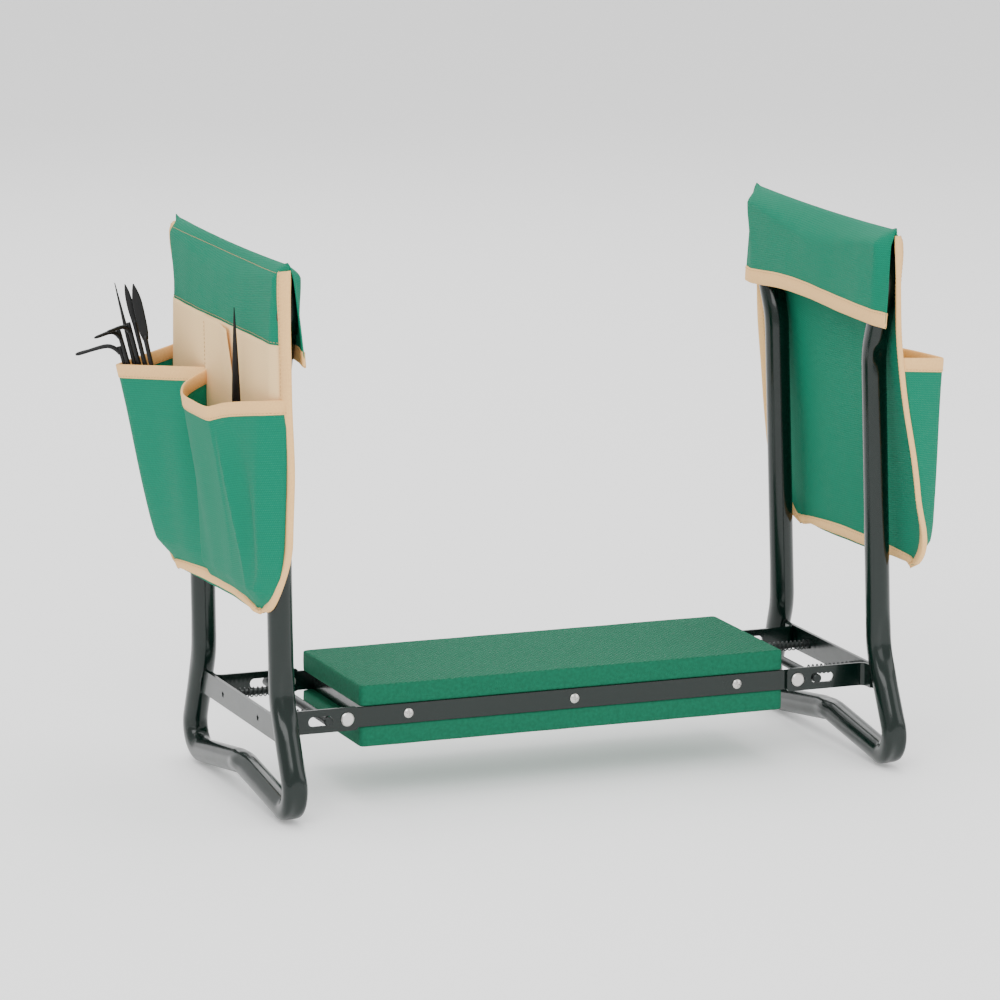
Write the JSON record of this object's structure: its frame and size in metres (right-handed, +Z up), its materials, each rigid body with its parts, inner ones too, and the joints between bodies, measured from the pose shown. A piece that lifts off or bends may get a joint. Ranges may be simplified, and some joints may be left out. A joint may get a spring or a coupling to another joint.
{
  "type": "folding garden kneeler seat",
  "caption": "Folding garden kneeler: foam padded board between two hourglass tube legs that fold over it, with spring lock rods and a cloth tool pouch on each leg.",
  "frame": {"origin": "on the floor, at the middle of the whole object's bounding box in X and Y; the seat's middle is 32 mm towards +X, because the hand tools lean out of the left pouch", "axes": "+Z up; X along the seat from the left leg to the right leg; +Y towards the rear rail"},
  "size_m": [0.7109, 0.3012, 0.4896],
  "materials": {
    "frame_enamel": "gloss",
    "foam": "matte",
    "board": "matte",
    "bright_steel": "satin",
    "dark_steel": "satin",
    "pouch_cloth": "matte",
    "khaki_cloth": "matte",
    "binding_tape": "matte",
    "tool_black": "satin"
  },
  "bodies": {
    "seat": {"top_pad": "foam", "bottom_pad": "foam", "core_board": "board", "front_rail": "frame_enamel", "rear_rail": "frame_enamel", "left_end_rail": "frame_enamel", "right_end_rail": "frame_enamel", "rail_screws": "bright_steel", "pivot_rivets": "bright_steel", "pivot_washers": "bright_steel"},
    "left_leg": {"left_loop": "frame_enamel", "left_crossbar": "frame_enamel", "left_front_arm": "frame_enamel", "left_rear_arm": "frame_enamel", "left_spring_guides": "dark_steel", "left_springs": "dark_steel", "left_pouch_panel": "pouch_cloth", "left_pouch_flap": "pouch_cloth", "left_pouch_binding": "binding_tape", "left_flap_binding": "binding_tape", "left_slip_pocket": "khaki_cloth", "left_deep_pocket": "pouch_cloth", "left_wide_pocket": "pouch_cloth", "left_pocket_binding": "binding_tape"},
    "right_leg": {"right_loop": "frame_enamel", "right_crossbar": "frame_enamel", "right_front_arm": "frame_enamel", "right_rear_arm": "frame_enamel", "right_spring_guides": "dark_steel", "right_springs": "dark_steel", "right_pouch_panel": "pouch_cloth", "right_pouch_flap": "pouch_cloth", "right_pouch_binding": "binding_tape", "right_flap_binding": "binding_tape", "right_slip_pocket": "khaki_cloth", "right_deep_pocket": "pouch_cloth", "right_wide_pocket": "pouch_cloth", "right_pocket_binding": "binding_tape"},
    "left_lock": {"left_lock_rod": "dark_steel"},
    "right_lock": {"right_lock_rod": "dark_steel"},
    "point_tweezer": {"point_tweezer": "tool_black"},
    "leaf_tweezer": {"leaf_tweezer": "tool_black"},
    "planting_blade": {"planting_blade": "tool_black"},
    "small_hook": {"small_hook": "tool_black"},
    "middle_hook": {"middle_hook": "tool_black"},
    "paddle_hook": {"paddle_hook": "tool_black"},
    "dibber_spike": {"dibber_spike": "tool_black"}
  },
  "joints": [
    {"name": "left_leg_fold", "type": "hinge", "parent": "seat", "child": "left_leg", "pos_m": [-0.1811, 0, 0.077], "axis": [0, 1, 0], "range_deg": [0, 85]},
    {"name": "right_leg_fold", "type": "hinge", "parent": "seat", "child": "right_leg", "pos_m": [0.2451, 0, 0.077], "axis": [0, -1, 0], "range_deg": [0, 91.5], "deforming": ["right_deep_pocket", "right_wide_pocket", "right_pocket_binding"]},
    {"name": "left_lock_slide", "type": "slide", "parent": "left_leg", "child": "left_lock", "axis": [-1, 0, 0], "range_m": [0, 0.0125], "stiffness_N_per_m": 1500, "springref_m": -0.008, "deforming": ["left_springs"]},
    {"name": "right_lock_slide", "type": "slide", "parent": "right_leg", "child": "right_lock", "axis": [1, 0, 0], "range_m": [0, 0.0125], "stiffness_N_per_m": 1500, "springref_m": -0.008, "deforming": ["right_springs"]},
    {"name": "point_tweezer_lift", "type": "slide", "parent": "left_leg", "child": "point_tweezer", "axis": [-0.1813, 0.1846, 0.9659], "range_m": [0, 0.17]},
    {"name": "leaf_tweezer_lift", "type": "slide", "parent": "left_leg", "child": "leaf_tweezer", "axis": [-0.1839, 0.1932, 0.9638], "range_m": [0, 0.17]},
    {"name": "planting_blade_lift", "type": "slide", "parent": "left_leg", "child": "planting_blade", "axis": [-0.1687, 0.1575, 0.973], "range_m": [0, 0.17]},
    {"name": "small_hook_lift", "type": "slide", "parent": "left_leg", "child": "small_hook", "axis": [-0.2084, 0.1352, 0.9687], "range_m": [0, 0.17]},
    {"name": "middle_hook_lift", "type": "slide", "parent": "left_leg", "child": "middle_hook", "axis": [-0.2348, 0.1356, 0.9625], "range_m": [0, 0.17]},
    {"name": "paddle_hook_lift", "type": "slide", "parent": "left_leg", "child": "paddle_hook", "axis": [-0.2459, 0.124, 0.9613], "range_m": [0, 0.17]},
    {"name": "dibber_spike_lift", "type": "slide", "parent": "left_leg", "child": "dibber_spike", "axis": [-0.0418, -0.0711, 0.9966], "range_m": [0, 0.17]}
  ]
}
